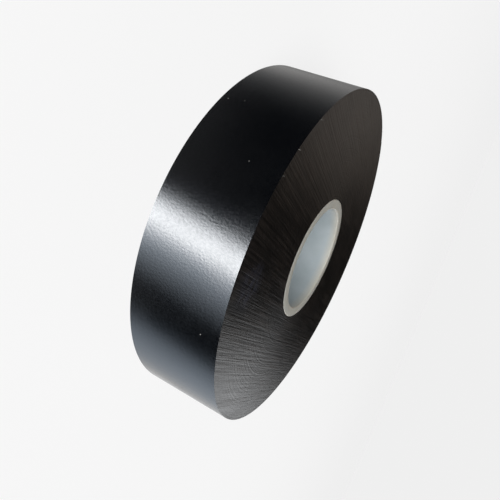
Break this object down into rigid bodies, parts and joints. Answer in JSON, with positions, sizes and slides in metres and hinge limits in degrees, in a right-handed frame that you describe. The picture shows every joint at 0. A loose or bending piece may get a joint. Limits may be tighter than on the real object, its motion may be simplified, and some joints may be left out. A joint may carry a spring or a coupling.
{
  "type": "electrical tape roll",
  "caption": "Full roll of black vinyl electrical tape wound on a white plastic core, with a free end that peels off the last turn.",
  "frame": {"origin": "on the roll's axis, in the plane of the face that the roll lies on", "axes": "+Z along the roll's axis, from the face that it lies on to the face that shows; the free end of the tape lies between +Y and -X, pointing anticlockwise seen from +Z"},
  "size_m": [0.0808, 0.0808, 0.019],
  "materials": {
    "core_plastic": "satin",
    "slit_vinyl": "matte",
    "film_vinyl": "satin"
  },
  "bodies": {
    "roll": {"core_tube": "core_plastic", "wound_tape": "slit_vinyl", "outer_turn": "film_vinyl"},
    "tail_1": {"tail_1": "film_vinyl"},
    "tail_2": {"tail_2": "film_vinyl"},
    "tail_3": {"tail_3": "film_vinyl"},
    "tail_4": {"tail_4": "film_vinyl"},
    "tail_5": {"tail_5": "film_vinyl"},
    "tail_6": {"tail_6": "film_vinyl"}
  },
  "joints": [
    {"name": "tail_peel", "type": "hinge", "parent": "roll", "child": "tail_1", "pos_m": [-0.00422, 0.04011, 0.0095], "axis": [0, 0, -1], "range_deg": [0, 30]},
    {"name": "tail_curl_2", "type": "hinge", "parent": "tail_1", "child": "tail_2", "pos_m": [-0.01112, 0.03877, 0.0095], "axis": [0, 0, -1], "range_deg": [0, 30]},
    {"name": "tail_curl_3", "type": "hinge", "parent": "tail_2", "child": "tail_3", "pos_m": [-0.01768, 0.03625, 0.0095], "axis": [0, 0, -1], "range_deg": [0, 30]},
    {"name": "tail_curl_4", "type": "hinge", "parent": "tail_3", "child": "tail_4", "pos_m": [-0.02371, 0.03263, 0.0095], "axis": [0, 0, -1], "range_deg": [0, 30]},
    {"name": "tail_curl_5", "type": "hinge", "parent": "tail_4", "child": "tail_5", "pos_m": [-0.02901, 0.02802, 0.0095], "axis": [0, 0, -1], "range_deg": [0, 30]},
    {"name": "tail_curl_6", "type": "hinge", "parent": "tail_5", "child": "tail_6", "pos_m": [-0.03344, 0.02256, 0.0095], "axis": [0, 0, -1], "range_deg": [0, 30]}
  ],
  "couplings": [
    {"joint": "tail_curl_2", "follows": "tail_peel", "ratio": 1},
    {"joint": "tail_curl_3", "follows": "tail_peel", "ratio": 1},
    {"joint": "tail_curl_4", "follows": "tail_peel", "ratio": 1},
    {"joint": "tail_curl_5", "follows": "tail_peel", "ratio": 1},
    {"joint": "tail_curl_6", "follows": "tail_peel", "ratio": 1}
  ]
}
